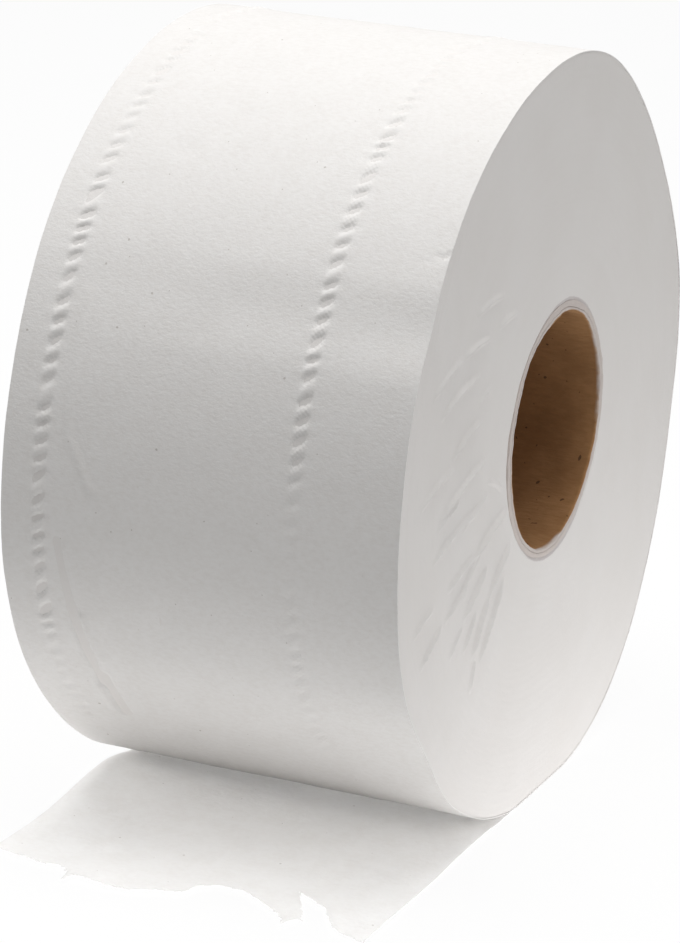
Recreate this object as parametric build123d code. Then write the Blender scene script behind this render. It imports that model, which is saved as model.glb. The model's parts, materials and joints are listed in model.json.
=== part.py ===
from build123d import *
from math import sqrt
import os

# A toilet paper roll lying on its side, with its loose end drawn out along the floor and torn off.
# Origin: on the core's axis, half way along it.  Y runs along the core, Z is up, and the loose
# end lies towards -X.  All sizes are in millimetres.

# The wound paper
roll_diameter = 180.0
roll_width = 95.0
sheet_thickness = 0.3        # two embossed plies, as they lie without load
flat_spot_width = 25.0       # where the soft roll has settled on the floor

# The board core
core_outer_diameter = 60.4
core_wall = 2.4
core_play = 0.1              # radial gap between the core and the first turn of paper
core_shift_back = 3.8        # the paper has slumped forwards and down around its core,
core_shift_up = 0.9          # so the core sits behind and above the middle of the paper

# The loose end, measured from the point straight below the middle of the paper
tail_length = 95.0           # to the mean line of the torn edge
arch_start = 18.0            # the sheet leaves the floor here,
arch_top = 38.0              # is highest here
arch_end = 66.0              # and lies on the floor from here on
arch_height = 1.2

# The torn edge from the -Y edge of the sheet to its +Y edge: how far across the width each point
# is, from -0.5 to 0.5, and how far it reaches past the mean line of the tear.
torn_edge = [
    (-0.500, 4.8),
    (-0.445, 2.9),
    (-0.400, 0.4),
    (-0.345, -8.2),
    (-0.245, -14.7),         # the bottom of the notch between the two torn flaps
    (-0.280, -8.8),
    (-0.328, 0.5),
    (-0.303, 0.6),
    (-0.290, 4.3),
    (-0.260, -0.3),
    (-0.155, -7.4),
    (-0.070, -8.7),
    (-0.030, -6.5),
    (-0.016, -1.4),
    (0.060, 1.9),
    (0.165, 4.2),
    (0.262, 2.3),
    (0.314, -1.5),
    (0.420, -2.5),
    (0.500, -4.0),
]

cutting_margin = 1.0         # how far a block that cuts runs past what it cuts

paper_middle = (-core_shift_back, -core_shift_up)
roll_radius = roll_diameter / 2
floor_level = -sqrt(roll_radius ** 2 - (flat_spot_width / 2) ** 2)
paper_bore_diameter = core_outer_diameter + 2 * core_play
core_bore_diameter = core_outer_diameter - 2 * core_wall


def extrude_across(section):
    """A side view drawn in X and Z becomes a solid as wide as the roll."""
    return extrude(Plane.XZ * section, roll_width / 2, both=True)


def wound_section():
    """The outline of the turns: a spiral of one sheet's step, drawn as two half circles.

    The outermost turn ends straight below the middle, where it runs off as the loose end.
    """
    front_radius = roll_radius - 0.75 * sheet_thickness
    back_radius = roll_radius - 0.25 * sheet_thickness
    front = CenterArc((0, sheet_thickness / 4), front_radius, 90, 180)
    back = CenterArc((0, -sheet_thickness / 4), back_radius, -90, 180)
    step = Line(front @ 1, back @ 0)
    return make_face([front, step, back])


def tail_section(reach):
    """The loose sheet from the side: flat on the floor, apart from one low arch near the roll."""
    def sheet_side(level):
        arch = Spline(
            (-arch_start, level),
            (-arch_top, level + arch_height),
            (-arch_end, level),
            tangents=[(-1, 0), (-1, 0)],
        )
        return [Line((0, level), arch @ 0), arch, Line(arch @ 1, (-reach, level))]

    lower = sheet_side(floor_level)
    upper = sheet_side(floor_level + sheet_thickness)
    root = Line(lower[0] @ 0, upper[0] @ 0)
    end = Line(lower[-1] @ 1, upper[-1] @ 1)
    return make_face([root, *lower, end, *upper])


def beyond_the_tear(reach):
    """Everything that was torn away, as a block whose near side follows the torn edge."""
    edge = [(-tail_length - past, across * roll_width) for across, past in torn_edge]
    far_end = -reach - cutting_margin
    outline = [(far_end, -roll_width), (-tail_length, -roll_width), *edge,
               (-tail_length, roll_width), (far_end, roll_width)]
    block = make_face(Polyline(*outline, close=True))
    block_height = arch_height + sheet_thickness + 2 * cutting_margin
    return extrude(Plane.XY.offset(floor_level - cutting_margin) * block, block_height)


def make_paper_roll():
    """All the turns and the loose end, which are one continuous web of tissue."""
    reach = tail_length + max(past for across, past in torn_edge) + cutting_margin
    below_floor = Pos(0, floor_level - roll_radius) * Rectangle(3 * roll_diameter, 2 * roll_radius)
    turns = extrude_across(wound_section() - below_floor)
    tail = extrude_across(tail_section(reach)) - beyond_the_tear(reach)
    middle_x, middle_z = paper_middle
    web = Pos(middle_x, 0, middle_z) * (turns + tail)
    return web - extrude_across(Circle(paper_bore_diameter / 2))


def make_core():
    """The spiral-wound board tube, sawn to the same length as the paper."""
    return extrude_across(Circle(core_outer_diameter / 2) - Circle(core_bore_diameter / 2))


os.makedirs("parts", exist_ok=True)
export_step(make_paper_roll(), "parts/paper_roll.step")
export_step(make_core(), "parts/core.step")
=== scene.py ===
import json
from math import cos, pi, radians, sin, tau

import bpy
import numpy as np
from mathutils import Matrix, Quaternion, Vector
from mathutils.geometry import delaunay_2d_cdt


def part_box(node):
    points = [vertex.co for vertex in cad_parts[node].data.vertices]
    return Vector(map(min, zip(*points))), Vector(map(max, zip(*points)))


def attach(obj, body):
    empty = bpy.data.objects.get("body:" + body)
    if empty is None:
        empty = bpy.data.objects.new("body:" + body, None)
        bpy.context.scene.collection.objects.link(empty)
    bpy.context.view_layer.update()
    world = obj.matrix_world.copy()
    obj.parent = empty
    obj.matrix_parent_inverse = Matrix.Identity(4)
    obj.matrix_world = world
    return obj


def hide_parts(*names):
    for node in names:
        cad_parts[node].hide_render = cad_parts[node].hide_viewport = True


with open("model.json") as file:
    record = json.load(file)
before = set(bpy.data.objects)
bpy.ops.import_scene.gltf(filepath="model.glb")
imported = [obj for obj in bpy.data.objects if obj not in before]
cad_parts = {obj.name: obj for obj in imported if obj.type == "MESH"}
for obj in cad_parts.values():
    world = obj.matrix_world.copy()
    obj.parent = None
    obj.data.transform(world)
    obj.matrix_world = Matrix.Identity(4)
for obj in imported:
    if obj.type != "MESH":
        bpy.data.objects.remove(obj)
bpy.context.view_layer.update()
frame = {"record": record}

mm = 0.001


# ---------------------------------------------------------------------------------------------
# The core: a tube of two plies of brown board, wound in a spiral, glued and sawn to length with
# the paper.  The saw leaves its ends pale and a little furry, and the plies part in places.
# ---------------------------------------------------------------------------------------------

class Wire:
    """What comes out of a node.  Each sum written with a wire adds one Math node to its tree."""

    def __init__(self, tree, socket):
        self.tree = tree
        self.socket = socket

    def math(self, operation, *others):
        return self.tree.add("ShaderNodeMath", {"operation": operation}, [self, *others])

    def __add__(self, other):
        return self.math("ADD", other)

    def __sub__(self, other):
        return self.math("SUBTRACT", other)

    def __mul__(self, other):
        return self.math("MULTIPLY", other)

    def __truediv__(self, other):
        return self.math("DIVIDE", other)

    def __rsub__(self, other):
        return self.tree.add("ShaderNodeMath", {"operation": "SUBTRACT"}, [other, self])

    def __rtruediv__(self, other):
        return self.tree.add("ShaderNodeMath", {"operation": "DIVIDE"}, [other, self])

    __radd__ = __add__
    __rmul__ = __mul__

    def between(self, low, high):
        """0 up to low, 1 from high on, and a smooth rise from one to the other."""
        settings = {"interpolation_type": "SMOOTHSTEP", "clamp": True}
        return self.tree.add("ShaderNodeMapRange", settings, {0: self, 1: low, 2: high})


class Tree:
    """A node tree, for a material or for geometry, that is built from wires."""

    def __init__(self, tree):
        self.tree = tree

    def add(self, kind, settings=None, inputs=None, output=0):
        """One node.  Its settings are set first; inputs go by name, by place or as a list."""
        node = self.tree.nodes.new(kind)
        for name, value in (settings or {}).items():
            if name == "stops":
                for stop, (place, colour) in zip(self.stops(node, len(value)), value):
                    stop.position = place
                    stop.color = (*colour, 1)
            else:
                setattr(node, name, value)
        if isinstance(inputs, (list, tuple)):
            inputs = dict(enumerate(inputs))
        for key, value in (inputs or {}).items():
            if isinstance(value, Wire):
                self.tree.links.new(value.socket, node.inputs[key])
            else:
                node.inputs[key].default_value = value
        return Wire(self, node.outputs[output])

    def stops(self, ramp, count):
        """A colour ramp's stops, made as many as are needed."""
        elements = ramp.color_ramp.elements
        while len(elements) < count:
            elements.new(1)
        return elements

    def mix(self, share, first, second):
        """Two colours, mixed by a share of the second."""
        settings = {"data_type": "RGBA"}
        return self.add("ShaderNodeMix", settings, {0: share, 6: first, 7: second}, output=2)

    def noise(self, place, scale, detail=2.0, roughness=0.5):
        inputs = {"Vector": place, "Scale": scale, "Detail": detail, "Roughness": roughness}
        return self.add("ShaderNodeTexNoise", None, inputs)

    def stretched(self, place, scale):
        """Places scaled by another amount along each axis, so a pattern on them is stretched."""
        return self.add("ShaderNodeMapping", None, {"Vector": place, "Scale": scale})

    def parts(self, place):
        """The X, Y and Z wires of a place."""
        first = self.add("ShaderNodeSeparateXYZ", None, [place])
        return [Wire(self, output) for output in first.socket.node.outputs]


def finish_material(name, colour, bump_height, bump_distance, roughness=0.95, **constants):
    """A matt material from a function for its colour and one for its bump, both given the tree."""
    material = bpy.data.materials.new(name)
    material.use_nodes = True
    nodes = material.node_tree.nodes
    tree = Tree(material.node_tree)
    shader = nodes["Principled BSDF"]
    tree.tree.links.new(colour(tree).socket, shader.inputs["Base Color"])
    bump = tree.add("ShaderNodeBump", None, {"Distance": bump_distance, "Height": bump_height(tree)})
    tree.tree.links.new(bump.socket, shader.inputs["Normal"])
    shader.inputs["Roughness"].default_value = roughness
    for socket, value in constants.items():
        shader.inputs[socket.replace("_", " ")].default_value = value
    return material


def keep_corners_crisp(mesh):
    """Smooth shading that stops at the corners between a face and its edge."""
    mesh.set_sharp_from_angle(angle=radians(50))


def mesh_piece(name, points, faces, material):
    """A smooth-shaded piece from its points and faces, with its place in its mesh."""
    mesh = bpy.data.meshes.new(name)
    mesh.from_pydata([tuple(point) for point in points], [], [tuple(face) for face in faces])
    mesh.validate()
    mesh.polygons.foreach_set("use_smooth", [True] * len(mesh.polygons))
    mesh.materials.append(material)
    piece = bpy.data.objects.new(name, mesh)
    bpy.context.scene.collection.objects.link(piece)
    return piece


def ring_faces(rings, spokes):
    """Quads between rings of points, closed both around each ring and from the last to the first."""
    index = np.arange(rings * spokes).reshape(rings, spokes)
    after = np.roll(index, -1, axis=0)
    corners = [index, after, np.roll(after, -1, axis=1), np.roll(index, -1, axis=1)]
    return np.stack(corners, axis=-1).reshape(-1, 4)


def ripple(first, second, seed, waves=9, longest=1.0, shortest=0.2):
    """Soft irregular unevenness from -1 to 1 over two coordinates: a sum of slanting waves."""
    dice = np.random.default_rng(seed)
    lengths = np.geomspace(longest, shortest, waves)
    total = np.zeros(np.broadcast(first, second).shape)
    for length in lengths:
        heading, phase = dice.uniform(0, tau, 2)
        along = first * cos(heading) + second * sin(heading)
        total += np.sin(tau * along / length + phase) * length ** 0.5
    return total / (lengths ** 0.5).sum() * 1.6


core_low, core_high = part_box("core")
core_outer = core_high.x
core_bore = next(m for m in frame["record"]["mounts"] if m["name"] == "core_bore")
core_inner = core_bore["dims"]["r_mm"] * mm
core_half_length = core_high.y
ply_line = core_inner + 0.46 * (core_outer - core_inner)

end_pale = (0.66, 0.595, 0.56)
end_inner_edge = (0.52, 0.33, 0.19)
board_brown = (0.43, 0.235, 0.105)
board_dark = (0.30, 0.155, 0.065)


def core_colour(tree):
    place = tree.add("ShaderNodeTexCoord", output="Object")
    x, y, z = tree.parts(place)
    radius = (x * x + z * z).math("SQRT")
    fibres = tree.noise(tree.stretched(place, (1, 0.3, 1)), 900.0, 4.0, 0.7)
    clouds = tree.noise(place, 90.0, 3.0)
    wall = tree.mix((clouds * 0.6 + fibres * 0.5).between(0.35, 0.8), (*board_dark, 1), (*board_brown, 1))
    specks = tree.noise(place, 700.0, 0.0).between(0.80, 0.83)
    wall = tree.mix(specks * 0.7, wall, (0.03, 0.015, 0.008, 1))
    edge = tree.noise(place, 700.0, 3.0)
    end = tree.mix((radius + edge * 0.0006).between(core_inner + 0.0003, core_inner + 0.0008),
                   (*end_inner_edge, 1), (*end_pale, 1))
    end = tree.mix(edge.between(0.4, 0.7) * 0.25, end, (0.72, 0.66, 0.62, 1))
    near_end = y.math("ABSOLUTE").between(core_half_length - 0.0011, core_half_length - 0.0003)
    on_end = near_end * (radius - edge * 0.0003).between(core_inner - 0.0001, core_inner + 0.0003)
    return tree.mix(on_end, wall, end)


def core_relief(tree):
    place = tree.add("ShaderNodeTexCoord", output="Object")
    streaks = tree.noise(tree.stretched(place, (1, 0.25, 1)), 1400.0, 4.0, 0.6)
    grain = tree.noise(place, 300.0, 3.0)
    return streaks * 0.6 + grain * 0.4


core_material = finish_material("core_board", core_colour, core_relief, 0.00025, 0.9,
                                Specular_IOR_Level=0.25)

spokes = 240
turn = np.linspace(0, tau, spokes, endpoint=False)
wall_profile = [      # radius and how far short of the end, for the sawn end from outside inwards
    (core_outer + 0.00008, 0.0004),
    (core_outer + 0.00005, 0.00012),
    (core_outer - 0.00020, 0.0),
    (ply_line + 0.00030, 0.0),
    (ply_line + 0.00008, 0.00008),
    (ply_line, 0.0004),
    (ply_line - 0.00008, 0.00006),
    (ply_line - 0.00030, 0.0),
    (core_inner + 0.00040, 0.0),
    (core_inner + 0.00012, 0.00015),
    (core_inner, 0.0006),
]


def core_end(side):
    """The rings of one sawn end, with the uneven rim and fluff that the saw leaves."""
    rings = []
    for radius, short in wall_profile:
        inward = ripple(turn * core_outer, turn * 0, 40 + side, longest=0.02, shortest=0.002)
        lift = ripple(turn * core_outer, radius + turn * 0, 50 + side, longest=0.03, shortest=0.0015)
        dent = 0.0003 * inward + 0.0004 * np.cos(turn * 3 + side)
        wide = radius + dent * (core_outer - radius) / (core_outer - core_inner)
        deep = np.full(spokes, core_half_length - short) + 0.00022 * lift
        rings.append(np.stack([wide * np.cos(turn), side * deep, wide * np.sin(turn)], axis=-1))
    return rings


def plain_rings(radius, stations):
    """Rings of one radius along the tube, at these places from one end to the other."""
    return [np.stack([radius * np.cos(turn), np.full(spokes, y), radius * np.sin(turn)], axis=-1)
            for y in stations]


stations = np.linspace(-1, 1, 15)[1:-1] * core_half_length
tube_rings = (core_end(-1) + plain_rings(core_inner, stations)
              + core_end(1)[::-1] + plain_rings(core_outer, stations[::-1]))
core_tube = mesh_piece("core_tube", np.concatenate(tube_rings), ring_faces(len(tube_rings), spokes),
                       core_material)
keep_corners_crisp(core_tube.data)
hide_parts("core")
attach(core_tube, "root")


# ---------------------------------------------------------------------------------------------
# The wound turns: a few hundred turns of soft tissue, sawn square in one cut with the core.  The
# saw drags the cut edges into slanting ridges.  The roll has slumped a little: its lower back
# swells out, its upper back is flatter, and it stands on a small flat spot.
# ---------------------------------------------------------------------------------------------

roll_low, roll_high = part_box("paper_roll")
floor_rest = next(m for m in frame["record"]["mounts"] if m["name"] == "floor_rest")
middle_x = floor_rest["pos_m"][0]
roll_radius = roll_high.x - middle_x
middle_z = roll_high.z - roll_radius
floor_z = roll_low.z
half_width = roll_high.y
sheet_thickness = 0.0003
end_recess = 0.00006          # the sawn faces stand this far inside the outer turn's edges
paper_bore = core_outer + 0.00006

# Swellings of the outline: where, in degrees from the back over the top, how far they spread
# either way, and how high they are
near_swellings = [(304, 36, 4.6), (38, 44, -4.7), (352, 24, -2.4), (198, 24, 1.0), (220, 16, -1.3),
                  (128, 22, 0.5), (151, 8, -0.9)]
far_swellings = [(304, 36, 3.0), (38, 44, -3.2), (352, 24, -1.5), (196, 40, 2.2), (108, 42, -1.3)]


def swelling(degrees, swellings):
    """How far the outline stands out of the circle at an angle, in metres."""
    total = np.zeros(np.shape(degrees))
    for centre, spread, height in swellings:
        away = np.abs((degrees - centre + 180) % 360 - 180) / spread
        total = total + height * mm * 0.5 * (1 + np.cos(pi * np.minimum(away, 1)))
    return total


def outline(degrees, across, depth):
    """X and Z of the surface that lies this deep under the outer turn, at an angle and a width."""
    share = (across + half_width) / (2 * half_width)
    near = swelling(degrees, near_swellings)
    far = swelling(degrees, far_swellings)
    radius = roll_radius - depth + near + (far - near) * share
    x = middle_x + radius * np.cos(np.radians(degrees))
    z = middle_z + radius * np.sin(np.radians(degrees))
    lowest = floor_z + depth
    settle = 0.0002           # how softly the outline meets the flat spot
    z = lowest + settle * np.logaddexp(0, (z - lowest) / settle)
    return x, z


# The saw's ridges on the near face: from, to and height, in millimetres from the middle of the
# paper, with X towards the back and Z up
saw_ridges = [
    (-37, 35, -25, 36, 0.20), (-50, 41, -34, 42, 0.22), (-74, 28, -57, 33, 0.25),
    (-57, 33, -41, 34, 0.30), (-69, 22, -47, 27, 0.34), (-48, 20, -40, 22, 0.20),
    (-61, 11, -45, 16, 0.32), (-78, 4, -60, 9, 0.26), (-67, -2, -41, 6, 0.36),
    (-39, 0, -29, -5, 0.18), (-68, -4, -56, 0, 0.24), (-70, -11, -45, -5, 0.32),
    (-60, -20, -44, -16, 0.30), (-45, -17, -25, -10, 0.42), (-50, -30, -36, -21, 0.34),
    (-44, -41, -34, -28, 0.36), (-35, -29, -22, -19, 0.42), (-39, -44, -25, -27, 0.36),
    (-74, -34, -62, -27, 0.28), (-44, -49, -41, -42, 0.22), (-79, -25, -68, -21, 0.24),
    (-61, -27, -49, -22, 0.26), (-53, -8, -38, -3, 0.22), (-54, -24, -41, -17, 0.24),
    (-49, -38, -42, -30, 0.24), (-57, -37, -50, -31, 0.20),
]
ridge_upper = 0.75 * mm       # a ridge rises on its upper side
ridge_height = 2.8
ridge_lower = 0.50 * mm       # and drops off more sharply on its lower side


def ridge_relief(x, z, ridges):
    """How far the ridges stand out of a sawn face."""
    relief = np.zeros(np.shape(x))
    for x0, z0, x1, z1, height in ridges:
        start = np.array([x0, z0]) * mm
        run = np.array([x1, z1]) * mm - start
        length = np.hypot(*run)
        run = run / length
        along = ((x - middle_x - start[0]) * run[0] + (z - middle_z - start[1]) * run[1]) / length
        bow = 0.05 * length * (1 - (2 * along - 1) ** 2)
        off = -(x - middle_x - start[0]) * run[1] + (z - middle_z - start[1]) * run[0] - bow
        width = np.where(off > 0, ridge_upper, ridge_lower)
        fade = np.clip(1.25 - np.abs(2 * along - 1) ** 2.5 * 1.25, 0, 1)
        relief = relief + ridge_height * height * mm * fade * np.exp(-(off / width) ** 2)
    return relief


def face_relief(x, z, side):
    """The unevenness of a sawn face: ridges, and shallow hollows that cross the turns."""
    ridges = saw_ridges
    if side > 0:
        ridges = [(-0.9 * x1, z1 - 6, -0.9 * x0, z0 - 6, 0.8 * h) for x0, z0, x1, z1, h in saw_ridges]
    soft = ripple(x, z, 7 + side, waves=10, longest=0.06, shortest=0.006)
    return ridge_relief(x, z, ridges) + 0.00022 * soft


def sheet_end_depth(degrees):
    """How deep the outermost turn lies: a whole sheet at its start, and nothing where it runs off."""
    turned = (wrap_start - degrees) % 360 / 360
    return sheet_thickness * (1 - turned)


wrap_start = 260.5            # degrees; the outermost turn starts here, just above the loose end

front_spokes = np.arange(236, 126, -0.36)
back_spokes = np.arange(126, -124, -2.0)
spoke_degrees = np.concatenate([front_spokes, back_spokes])
spoke_count = len(spoke_degrees)


def face_rings(side, steps):
    """The rings of one sawn face, from the bore out to the rim."""
    rings = []
    angle = np.radians(spoke_degrees)
    rim_depth = 0.92 * sheet_thickness + sheet_end_depth(spoke_degrees)
    rim_x, rim_z = outline(spoke_degrees, side * half_width, rim_depth)
    for share in np.linspace(0, 1, steps):
        x = paper_bore * np.cos(angle) * (1 - share) + rim_x * share
        z = paper_bore * np.sin(angle) * (1 - share) + rim_z * share
        rounding = 0.00006 * max(0, (share - 0.985) / 0.015) ** 2 + 0.00025 * max(0, 1 - share / 0.015) ** 2
        out = half_width - end_recess - rounding + face_relief(x, z, side) * min(1, (1 - share) * 14)
        rings.append(np.stack([x, side * out, z], axis=-1))
    return rings


def side_rings(stations):
    """Rings under the outermost turn, which hides them."""
    depth = 0.92 * sheet_thickness + sheet_end_depth(spoke_degrees)
    rings = []
    for y in stations:
        x, z = outline(spoke_degrees, y, depth)
        rings.append(np.stack([x, np.full(spoke_count, y), z], axis=-1))
    return rings


def bore_rings(stations):
    angle = np.radians(spoke_degrees)
    return [np.stack([paper_bore * np.cos(angle), np.full(spoke_count, y), paper_bore * np.sin(angle)],
                     axis=-1) for y in stations]


near_white = (0.86, 0.835, 0.815)
crushed_grey = (0.60, 0.55, 0.545)
cut_white = (0.84, 0.812, 0.788)


def cut_colour(tree):
    place = tree.add("ShaderNodeTexCoord", output="Object")
    x, y, z = tree.parts(place)
    radius = (x * x + z * z).math("SQRT")
    bands = tree.noise(tree.add("ShaderNodeCombineXYZ", None, [radius, 0.0, 0.0]), 260.0, 5.0, 0.65)
    clouds = tree.noise(place, 45.0, 3.0)
    share = (bands * 0.35 + clouds * 0.65).between(0.3, 0.7)
    paper = tree.mix(share, (*cut_white, 1), (*near_white, 1))
    steep = (z / radius).math("ABSOLUTE").math("POWER", 4.0)
    fuzz = tree.noise(place, 900.0, 3.0, 0.7)
    crushed = 1 - (radius - steep * 0.0010 + fuzz * 0.0006).between(core_outer + 0.0001, core_outer + 0.0005)
    return tree.mix(crushed * (fuzz * 0.5 + 0.45), paper, (*crushed_grey, 1))


def cut_relief(tree):
    place = tree.add("ShaderNodeTexCoord", output="Object")
    x, y, z = tree.parts(place)
    radius = (x * x + z * z).math("SQRT")
    angle = z.math("ARCTAN2", x)
    polar = tree.add("ShaderNodeCombineXYZ", None, [radius * 1.0, angle * 0.012, y * 0.0])
    turns = tree.noise(polar, 1500.0, 4.0, 0.6)
    fluff = tree.noise(place, 1300.0, 3.0, 0.6)
    dents = tree.noise(place, 160.0, 2.0)
    return turns * 0.25 + fluff * 0.3 + dents * 0.5


cut_material = finish_material("tissue_cut_edges", cut_colour, cut_relief, 0.00022, 0.97,
                               Specular_IOR_Level=0.15)

near_face = face_rings(-1, 168)
far_face = face_rings(1, 44)
across_stations = np.linspace(-0.9, 0.9, 7) * half_width
turn_rings = near_face + side_rings(across_stations) + far_face[::-1] + bore_rings(across_stations[::-1])
wound_turns = mesh_piece("wound_turns", np.concatenate(turn_rings),
                         ring_faces(len(turn_rings), spoke_count), cut_material)


def geometry_tree(name, sizes):
    """A Geometry Nodes tree with one named input for each size, and the wires of its inputs."""
    group = bpy.data.node_groups.new(name, "GeometryNodeTree")
    group.interface.new_socket("Geometry", in_out="INPUT", socket_type="NodeSocketGeometry")
    for size, value in sizes.items():
        kind = "NodeSocketInt" if isinstance(value, int) else "NodeSocketFloat"
        group.interface.new_socket(size, in_out="INPUT", socket_type=kind).default_value = value
    group.interface.new_socket("Geometry", in_out="OUTPUT", socket_type="NodeSocketGeometry")
    tree = Tree(group)
    start = group.nodes.new("NodeGroupInput")
    return tree, {output.name: Wire(tree, output) for output in start.outputs if output.name}


def end_tree(tree, geometry, material):
    """Closes a Geometry Nodes tree with plain geometry in one material."""
    real = tree.add("GeometryNodeRealizeInstances", None, {"Geometry": geometry})
    done = tree.add("GeometryNodeSetMaterial", None, {"Geometry": real, "Material": material})
    end = tree.tree.nodes.new("NodeGroupOutput")
    tree.tree.links.new(done.socket, end.inputs[0])


def run_tree(piece, tree, material, sizes):
    """Runs a Geometry Nodes tree on a piece and leaves the result as its plain mesh."""
    modifier = piece.modifiers.new(tree.tree.name, "NODES")
    modifier.node_group = tree.tree
    for item in tree.tree.interface.items_tree:
        if item.in_out == "INPUT" and item.name in sizes:
            modifier[item.identifier] = sizes[item.name]
    bpy.context.view_layer.update()
    evaluated = piece.evaluated_get(bpy.context.evaluated_depsgraph_get())
    plain = bpy.data.meshes.new_from_object(evaluated)
    piece.modifiers.remove(modifier)
    piece.data = plain
    if not plain.materials:
        plain.materials.append(material)
    return piece


turn_edge_sizes = {"Spacing": 0.0021, "Height": 0.000012, "Half width": half_width}


def turn_edge_tree():
    """Groups of turns that stand a hair proud of the sawn faces, on a spiral about the core."""
    tree, size = geometry_tree("turn_edges", turn_edge_sizes)
    place = tree.add("GeometryNodeInputPosition")
    x, y, z = tree.parts(place)
    radius = (x * x + z * z).math("SQRT")
    windings = radius / size["Spacing"] + z.math("ARCTAN2", x) / tau
    uneven = tree.noise(place, 60.0, 2.0)
    wave = ((windings + uneven * 3.0) * tau).math("SINE")
    on_face = (y.math("ABSOLUTE") - size["Half width"]).between(-0.0012, -0.0006)
    lift = wave * size["Height"] * on_face * y.math("SIGN")
    offset = tree.add("ShaderNodeCombineXYZ", None, [0.0, lift, 0.0])
    moved = tree.add("GeometryNodeSetPosition", None, {"Geometry": size["Geometry"], "Offset": offset})
    end_tree(tree, moved, cut_material)
    return tree


run_tree(wound_turns, turn_edge_tree(), cut_material, turn_edge_sizes)
keep_corners_crisp(wound_turns.data)
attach(wound_turns, "root")


# ---------------------------------------------------------------------------------------------
# The outermost turn and the loose end: one sheet of two plies of crepe tissue.  Pressure wheels
# bond the plies along two lines, which pucker.  The sheet goes once round the roll, runs off
# under its front, rises in a low arch, lies on the floor and ends in a hand-torn edge.
# ---------------------------------------------------------------------------------------------

tail_start = 12.5 * mm        # the sheet leaves the roll this far in front of its lowest line
tail_length = 95.0 * mm       # from the roll's lowest line to the mean line of the tear
arch_start = 17 * mm
arch_top = 37 * mm
arch_end = 68 * mm
near_arch = 0.4 * mm
far_arch = 2.6 * mm
bond_lines = (-22.5 * mm, 38.5 * mm)
bond_half_width = 2.1 * mm

# The tear from the near edge to the far edge: how far across, as a share of the width, and how
# far past the mean line, in millimetres
torn_edge = [
    (-0.500, 4.8), (-0.445, 2.9), (-0.400, 0.4), (-0.383, -1.8), (-0.345, -8.2), (-0.320, -9.6),
    (-0.245, -14.7), (-0.280, -8.8), (-0.328, 0.5), (-0.312, -0.2), (-0.300, 1.2), (-0.290, 4.3),
    (-0.276, 1.0), (-0.260, -0.3), (-0.210, -3.9), (-0.155, -7.4), (-0.115, -8.5), (-0.070, -8.7),
    (-0.030, -6.5), (-0.016, -1.4), (0.015, 0.4), (0.060, 1.9), (0.110, 3.3), (0.165, 4.2),
    (0.195, 3.6), (0.255, 2.4), (0.270, 6.4), (0.277, 2.0), (0.314, -1.5), (0.362, -0.9),
    (0.420, -2.5), (0.455, -2.6), (0.480, -3.3), (0.500, -4.0),
]

# Creases pressed into the outer turn: from and to, in degrees and millimetres across, how wide
# and how deep
creases = [
    (199, 31.6, 208, 29.6, 1.1, 1.00), (200, 29.6, 208, 27.6, 1.0, -0.55), (209, 29.6, 214, 29.2, 0.9, 0.55),
    (212, 28.0, 222, 27.0, 1.2, 0.75), (215, 30.2, 221, 29.6, 1.0, -0.40), (188, 34.0, 198, 31.8, 1.5, 0.35),
    (152, 32.8, 172, 32.2, 0.8, -0.16), (173, 31.5, 180, 25.8, 0.8, -0.22), (180, 27.4, 186, 22.6, 0.9, 0.16),
    (139, -47.3, 140.5, -44.0, 0.5, 0.45), (150, -2.0, 156, 4.0, 2.5, 0.10),
    (196, 8.0, 203, 14.0, 2.5, 0.22), (184, -8.0, 190, -2.0, 3.0, 0.16), (120, 12.0, 128, 20.0, 3.5, 0.22),
    (60, 10.0, 52, 18.0, 1.6, 0.30), (20, -30.0, 8, -27.0, 1.4, 0.35), (335, 5.0, 322, 12.0, 1.6, 0.40),
]


def crease_depth(degrees, across):
    """How far the creases press the outer turn in, in metres."""
    total = np.zeros(np.broadcast(degrees, across).shape)
    arc = np.radians(degrees) * roll_radius
    for from_degrees, from_across, to_degrees, to_across, width, depth in creases:
        start = np.array([radians(from_degrees) * roll_radius, from_across * mm])
        run = np.array([radians(to_degrees) * roll_radius, to_across * mm]) - start
        share = ((arc - start[0]) * run[0] + (across - start[1]) * run[1]) / (run @ run)
        share = np.clip(share, 0, 1)
        gap = np.hypot(arc - start[0] - share * run[0], across - start[1] - share * run[1])
        total = total + depth * mm * np.exp(-(gap / (width * mm)) ** 2)
    return total


def spaced(stops):
    """Places from one stop to the next, as far apart as each stretch says."""
    places = []
    for (start, step), (end, _) in zip(stops, stops[1:]):
        count = max(1, round(abs(end - start) / step))
        places.extend(np.linspace(start, end, count, endpoint=False))
    return np.array([*places, stops[-1][0]])


fine, plain = 0.42 * mm, 2.5 * mm
columns = spaced([
    (-half_width, 0.5 * mm), (-half_width + 1.5 * mm, plain),
    (bond_lines[0] - bond_half_width, fine), (bond_lines[0] + bond_half_width, plain),
    (25 * mm, 0.75 * mm), (35 * mm, 1.5 * mm),
    (bond_lines[1] - bond_half_width, fine), (bond_lines[1] + bond_half_width, plain),
    (half_width - 1.5 * mm, 0.5 * mm), (half_width, plain),
])
tail_degrees = -90 - np.degrees(np.arcsin(tail_start / roll_radius))
row_degrees = spaced([(wrap_start, 0.75), (225, 0.42), (115, 0.72), (tail_degrees, 1)])


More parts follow.
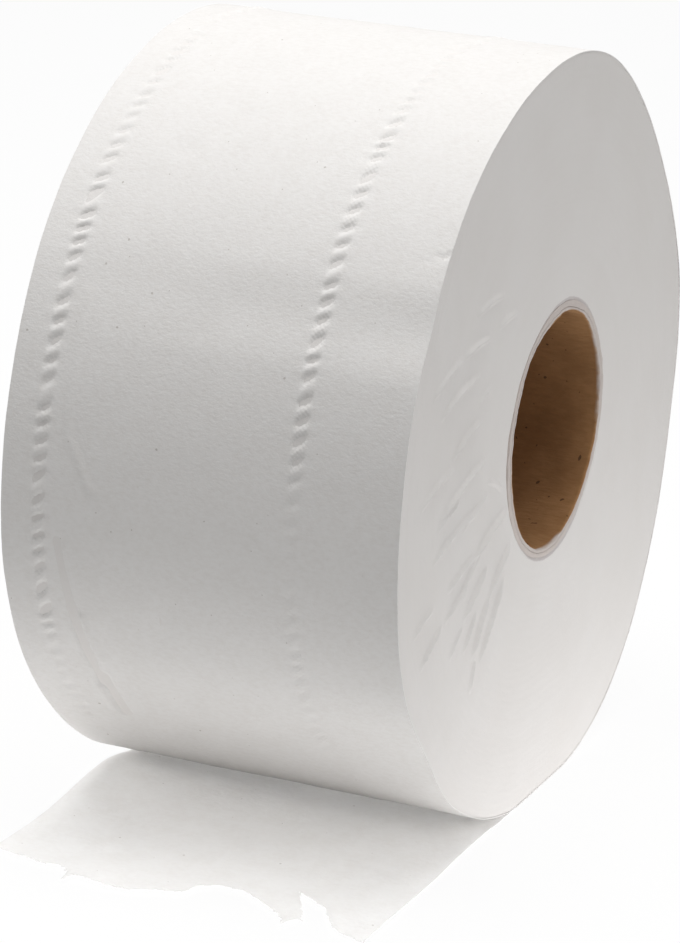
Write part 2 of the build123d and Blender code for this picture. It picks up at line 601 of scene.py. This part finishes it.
def wrapped_part():
    """Points of the outermost turn's outer side, and how far along and across the sheet they are."""
    degrees, across = np.meshgrid(row_degrees, columns, indexing="ij")
    wave = 0.00012 * ripple(np.radians(degrees) * roll_radius, across, 3, longest=0.08, shortest=0.01)
    depth = sheet_end_depth(degrees) + crease_depth(degrees % 360, across) - wave
    settled = np.clip(np.abs(degrees + 90) / 30, 0, 1)
    x, z = outline(degrees, across, sheet_end_depth(degrees))
    press = (depth - sheet_end_depth(degrees)) * settled
    x = x - press * np.cos(np.radians(degrees))
    z = z - press * np.sin(np.radians(degrees))
    along = np.concatenate([[0], np.cumsum(np.abs(np.diff(row_degrees)))])
    along = np.radians(along)[:, None] * roll_radius + across * 0
    edge = 0.00004 + 0.00006 * ripple(along, across * 0, 5, longest=0.05, shortest=0.004)
    y = across + np.sign(across) * edge * (np.abs(across) > half_width - 1e-6)
    return np.stack([x, y, z], axis=-1), along, across


def smooth_step(low, high, value):
    share = np.clip((value - low) / (high - low), 0, 1)
    return share * share * (3 - 2 * share)


def tail_height(reach, across):
    """How high the loose end lies above the floor: one low arch, and slight waves in the sheet."""
    share = (across + half_width) / (2 * half_width)
    top = near_arch + (far_arch - near_arch) * share ** 1.3
    arch = smooth_step(arch_start, arch_top, reach) * (1 - smooth_step(arch_top, arch_end, reach))
    waves = np.maximum(0, 0.5 + 0.5 * ripple(reach, across, 11, longest=0.05, shortest=0.012))
    free = smooth_step(arch_start, arch_top, reach)
    curl = 0.0006 * smooth_step(tail_length - 0.02, tail_length + 0.004, reach)
    return top * arch + 0.0006 * waves * free + curl * (0.4 + 0.6 * waves)


def torn_line():
    """The torn edge as closely spaced points, frayed by a fine unevenness."""
    corners = np.array([(share * 2 * half_width, tail_length + past * mm) for share, past in torn_edge])
    dice = np.random.default_rng(21)
    points = []
    for start, end in zip(corners, corners[1:]):
        count = max(2, int(np.hypot(*(end - start)) / (0.45 * mm)))
        sideways = np.array([-(end - start)[1], (end - start)[0]])
        sideways = sideways / max(np.hypot(*sideways), 1e-9)
        bite = dice.normal(0, 0.22 * mm, count)
        bite = np.cumsum(bite) - np.linspace(0, 1, count) * bite.sum()
        for share, drift in zip(np.arange(count) / count, bite):
            fray = (dice.normal(0, 0.14 * mm) + 0.6 * drift) * (share > 0)
            points.append(start + (end - start) * share + sideways * fray)
    points.append(corners[-1])
    return np.array(points)


def tail_part():
    """The loose end as flat points, across and reach, and their triangles.  The first points are
    the last row of the wrapped part."""
    step = 1.25 * mm
    first_row = np.stack([columns, np.full(len(columns), tail_start)], axis=-1)
    torn = torn_line()
    far_side = np.arange(tail_start + step, torn[-1][1] - step / 2, step)
    near_side = np.arange(tail_start + step, torn[0][1] - step / 2, step)[::-1]
    rim = np.concatenate([
        first_row,
        [(half_width, reach) for reach in far_side],
        torn[::-1],
        [(-half_width, reach) for reach in near_side],
    ])
    inside = [(across, reach)
              for reach in np.arange(tail_start + step, tail_length + 6 * mm, step)
              for across in np.arange(-half_width + step, half_width - step / 2, step)]
    inside = [point for point in inside if np.hypot(*(rim - point).T).min() > 0.6 * step]
    points = [Vector(point) for point in np.concatenate([rim, inside])]
    found = delaunay_2d_cdt(points, [], [list(range(len(rim)))], 1, 1e-7)
    flat = np.array([tuple(point) for point in found[0]])
    origin = [source[0] if source else -1 for source in found[3]]
    return flat, found[2], origin, len(torn)


def loose_sheet():
    """The whole sheet's outer side as one mesh: the wrapped part and the loose end share a row."""
    wrapped, along, across = wrapped_part()
    rows, count = along.shape
    flat, triangles, origin, _ = tail_part()
    leave_along = along[-1, 0]
    tail = np.stack([
        middle_x - flat[:, 1],
        flat[:, 0],
        floor_z + tail_height(flat[:, 1], flat[:, 0]),
    ], axis=-1)
    first = rows * count
    numbers = [first - count + source if 0 <= source < count else first + place
               for place, source in enumerate(origin)]
    index = np.arange(first).reshape(rows, count)
    quads = np.stack([index[:-1, :-1], index[1:, :-1], index[1:, 1:], index[:-1, 1:]], axis=-1)
    faces = [tuple(quad) for quad in quads.reshape(-1, 4)]
    faces += [tuple(numbers[corner] for corner in reversed(triangle)) for triangle in triangles]
    points = np.concatenate([wrapped.reshape(-1, 3), tail])
    lengthwise = np.concatenate([along.ravel(), leave_along + flat[:, 1] - tail_start])
    widthwise = np.concatenate([across.ravel(), flat[:, 0]])
    return points, faces, lengthwise, widthwise


tissue_pale = (0.885, 0.868, 0.850)
tissue_dense = (0.845, 0.822, 0.798)
fleck = (0.30, 0.25, 0.20)


def web_colour(tree, cloudiness=0.3):
    """Short fibres of bleached pulp, a little uneven in how closely they lie, with a rare fleck."""
    place = tree.add("ShaderNodeUVMap", {"uv_map": "sheet"})
    clouds = tree.noise(place, 130.0, 4.0, 0.6)
    fibres = tree.noise(tree.stretched(place, (1.0, 0.6, 1.0)), 900.0, 4.0, 0.7)
    share = (clouds * cloudiness + fibres * (1 - cloudiness)).between(0.32, 0.62)
    colour = tree.mix(share, (*tissue_dense, 1), (*tissue_pale, 1))
    specks = tree.noise(place, 800.0, 0.0).between(0.86, 0.88)
    return tree.mix(specks * 0.4, colour, (*fleck, 1))


def web_relief(tree, softness=0.3):
    """Crepe: fine folds across the sheet, broken up, over soft cockles; and the bonding wheels' dots."""
    place = tree.add("ShaderNodeUVMap", {"uv_map": "sheet"})
    along, across, _ = tree.parts(place)
    crepe = tree.noise(tree.stretched(place, (1.0, 0.5, 1.0)), 1600.0, 3.0, 0.65)
    grain = tree.noise(place, 1100.0, 3.0, 0.6)
    cockle = tree.noise(place, 220.0, 2.0, 0.5)
    dots = (along * (tau / 0.0012)).math("SINE") * (across * (tau / 0.0012)).math("SINE")
    first = (across - bond_lines[0]).math("ABSOLUTE")
    second = (across - bond_lines[1]).math("ABSOLUTE")
    bonded = 1 - first.math("MINIMUM", second).between(0.0010, 0.0018)
    patches = tree.noise(place, 60.0, 1.0).between(0.48, 0.60)
    return crepe * 0.30 + grain * 0.30 + cockle * softness + dots * bonded * patches * 0.10


def loose_colour(tree):
    return web_colour(tree, 0.55)


def loose_relief(tree):
    return web_relief(tree, 1.2)


web_material = finish_material("tissue_web", web_colour, web_relief, 0.00025, 0.95,
                               Specular_IOR_Level=0.2, Sheen_Weight=0.1)
loose_material = finish_material("tissue_loose_end", loose_colour, loose_relief, 0.0003, 0.95,
                                 Specular_IOR_Level=0.2, Sheen_Weight=0.1, Subsurface_Weight=1.0,
                                 Subsurface_Scale=0.001, Subsurface_Radius=(1.0, 1.0, 1.0))


bond_sizes = {
    "First line": bond_lines[0],
    "Second line": bond_lines[1],
    "Half width": bond_half_width,
    "Pitch": 0.0044,
    "Depth": 0.00068,
}


def bond_tree():
    """Puckers along the two lines where the plies are bonded: slanting hollows with ridges between
    them, unevenly spaced, strong in some stretches and faint in others."""
    tree, size = geometry_tree("ply_bond", bond_sizes)
    along = tree.add("GeometryNodeInputNamedAttribute", {"data_type": "FLOAT"}, {"Name": "along"})
    across = tree.add("GeometryNodeInputNamedAttribute", {"data_type": "FLOAT"}, {"Name": "across"})
    first = (across - size["First line"]) / size["Half width"]
    second = (across - size["Second line"]) / size["Half width"]
    on_first = first.math("ABSOLUTE").math("LESS_THAN", 1.0)
    off_line = on_first * first + (1 - on_first) * second
    inside = (1 - off_line * off_line).math("MAXIMUM", 0.0)
    line = tree.add("ShaderNodeCombineXYZ", None, [along, on_first * 0.3, 0.0])
    shift = tree.noise(line, 60.0, 2.0)
    phase = along / size["Pitch"] + off_line * 0.28 + shift * 2.6
    wave = (phase * tau).math("SINE")
    hollow = wave.between(-0.1, 1.0)
    ridge = (0 - wave).between(0.0, 1.0)
    degrees = wrap_start - along * (360 / (tau * roll_radius))
    faint_first = degrees.between(166.0, 180.0) * 0.7
    faint_second = degrees.between(196.0, 208.0) * 0.55
    window = 1 - on_first * faint_first - (1 - on_first) * faint_second
    on_roll = degrees.between(-80.0, -72.0)
    strength = (tree.noise(line, 30.0, 2.0).between(0.25, 0.65) * 0.7 + 0.3) * window * on_roll
    height = (ridge * 0.55 - hollow) * inside * strength * size["Depth"]
    normal = tree.add("GeometryNodeInputNormal")
    offset = tree.add("ShaderNodeVectorMath", {"operation": "SCALE"}, {"Vector": normal, "Scale": height})
    moved = tree.add("GeometryNodeSetPosition", None, {"Geometry": size["Geometry"], "Offset": offset})
    end_tree(tree, moved, web_material)
    return tree


def add_sheet_map(piece, along, across):
    """Keeps how far along and across the sheet each point is, as attributes and as a UV map."""
    mesh = piece.data
    for name, values in (("along", along), ("across", across)):
        mesh.attributes.new(name, "FLOAT", "POINT").data.foreach_set("value", values.astype(np.float32))
    corners = np.zeros(len(mesh.loops), np.int32)
    mesh.loops.foreach_get("vertex_index", corners)
    flat = np.stack([along[corners], across[corners]], axis=-1).astype(np.float32)
    mesh.uv_layers.new(name="sheet").data.foreach_set("uv", flat.ravel())


def drop_unused_points(points, faces, *values):
    """Leaves out the points that no face uses, and renumbers the faces."""
    used = sorted({corner for face in faces for corner in face})
    number = {old: new for new, old in enumerate(used)}
    renumbered = [tuple(number[corner] for corner in face) for face in faces]
    return points[used], renumbered, *[value[used] for value in values]


leave_along = radians(wrap_start - tail_degrees) * roll_radius
sheet_points, sheet_faces, along, across = drop_unused_points(*loose_sheet())
outer_sheet = mesh_piece("outer_turn_and_loose_end", sheet_points, sheet_faces, web_material)
add_sheet_map(outer_sheet, along, across)
run_tree(outer_sheet, bond_tree(), web_material, bond_sizes)


def thicken(piece, thickness):
    """Gives an open sheet its thickness, inwards from the side its faces point to."""
    solid = piece.modifiers.new("plies", "SOLIDIFY")
    solid.thickness = thickness
    solid.offset = -1
    bpy.context.view_layer.update()
    evaluated = piece.evaluated_get(bpy.context.evaluated_depsgraph_get())
    plain = bpy.data.meshes.new_from_object(evaluated)
    piece.modifiers.remove(solid)
    piece.data = plain


thicken(outer_sheet, sheet_thickness * 0.9)


def give_loose_end(piece, material, start):
    """A second slot for the faces past a place along the sheet, where light passes through it."""
    mesh = piece.data
    mesh.materials.append(material)
    reached = np.zeros(len(mesh.vertices), np.float32)
    mesh.attributes["along"].data.foreach_get("value", reached)
    for face in mesh.polygons:
        face.material_index = int(min(reached[corner] for corner in face.vertices) > start)


give_loose_end(outer_sheet, loose_material, leave_along - 0.004)
keep_corners_crisp(outer_sheet.data)
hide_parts("paper_roll")
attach(outer_sheet, "root")


# ---------------------------------------------------------------------------------------------
# The floor, the soft light and the camera.
# ---------------------------------------------------------------------------------------------

def seen_by_the_eye(tree):
    """1 for what the camera sees, directly or in gloss or glass, and 0 for the light's other ways."""
    path = tree.add("ShaderNodeLightPath").socket.node
    seen = Wire(tree, path.outputs["Is Camera Ray"])
    for other in ("Is Glossy Ray", "Is Transmission Ray"):
        seen = seen.math("MAXIMUM", Wire(tree, path.outputs[other]))
    return seen


table_glow = 1.05              # the floor is a pale sheet lit softly from below
glow_reach = (0.07, 0.26)     # the glow is even up to the first distance and gone at the second
white_share = 0.88            # how much of what the eye sees of it is plain white, not shadow
floor_grey = 0.8


def floor_material():
    """A pale glowing floor that the eye sees as nearly white, and that keeps the shadow."""
    material = bpy.data.materials.new("light_table")
    material.use_nodes = True
    tree = Tree(material.node_tree)
    material.node_tree.nodes.clear()
    seen = seen_by_the_eye(tree)
    paint = tree.add("ShaderNodeBsdfDiffuse", None, {"Color": (floor_grey, floor_grey, floor_grey, 1)})
    x, y, _ = tree.parts(tree.add("ShaderNodeTexCoord", output="Object"))
    lit = 1 - (x * x + y * y).math("SQRT").between(*glow_reach)
    strength = seen * 1.03 + (1 - seen) * lit * (2 * table_glow)
    glow = tree.add("ShaderNodeEmission", None, {"Color": (1, 1, 1, 1), "Strength": strength})
    both = tree.add("ShaderNodeMixShader", None, [seen * white_share + (1 - seen) * 0.5, paint, glow])
    out = material.node_tree.nodes.new("ShaderNodeOutputMaterial")
    tree.tree.links.new(both.socket, out.inputs["Surface"])
    return material


floor_reach = 4.0
floor = mesh_piece("floor", [
    (-floor_reach, -floor_reach, floor_z - 0.0001), (floor_reach, -floor_reach, floor_z - 0.0001),
    (floor_reach, floor_reach, floor_z - 0.0001), (-floor_reach, floor_reach, floor_z - 0.0001),
], [(0, 1, 2, 3)], floor_material())


def soft_light(name, place, target, size, power):
    """A square soft box at a place, turned towards a target."""
    lamp = bpy.data.lights.new(name, "AREA")
    lamp.size = size
    lamp.energy = power
    light = bpy.data.objects.new(name, lamp)
    light.location = place
    light.rotation_mode = "QUATERNION"
    light.rotation_quaternion = (Vector(target) - Vector(place)).to_track_quat("-Z", "Y")
    bpy.context.scene.collection.objects.link(light)
    return light


soft_light("overhead", (-0.1, 0.1, 1.3), (0, 0, 0), 1.2, 17.0)
soft_light("right", (0.1, -1.4, 0.5), (0, 0, 0), 1.0, 5.0)

world = bpy.data.worlds.new("studio")
bpy.context.scene.world = world
world.use_nodes = True
world_tree = Tree(world.node_tree)
world.node_tree.nodes.clear()
ambient = 0.22
world_seen = seen_by_the_eye(world_tree)
world_strength = world_seen * (1 - ambient) + ambient
sky = world_tree.add("ShaderNodeBackground", None, {"Color": (1, 1, 1, 1), "Strength": world_strength})
world_out = world.node_tree.nodes.new("ShaderNodeOutputWorld")
world.node_tree.links.new(sky.socket, world_out.inputs["Surface"])

camera_azimuth = radians(-66.97)
camera_height = radians(17.68)
camera_distance = 1.0208
camera_roll = radians(2.36)
aim = Vector((-0.00997, 0.00241, -0.01576))
camera_data = bpy.data.cameras.new("camera")
camera_data.sensor_width = 36
camera_data.lens = 165.5
camera = bpy.data.objects.new("camera", camera_data)
bpy.context.scene.collection.objects.link(camera)
back = Vector((sin(camera_azimuth) * cos(camera_height), -cos(camera_azimuth) * cos(camera_height),
               sin(camera_height)))
camera.location = aim + back * camera_distance
camera.rotation_mode = "QUATERNION"
camera.rotation_quaternion = (-back).to_track_quat("-Z", "Y") @ Quaternion((0, 0, 1), camera_roll)
bpy.context.scene.camera = camera
bpy.context.scene.view_settings.view_transform = "Standard"
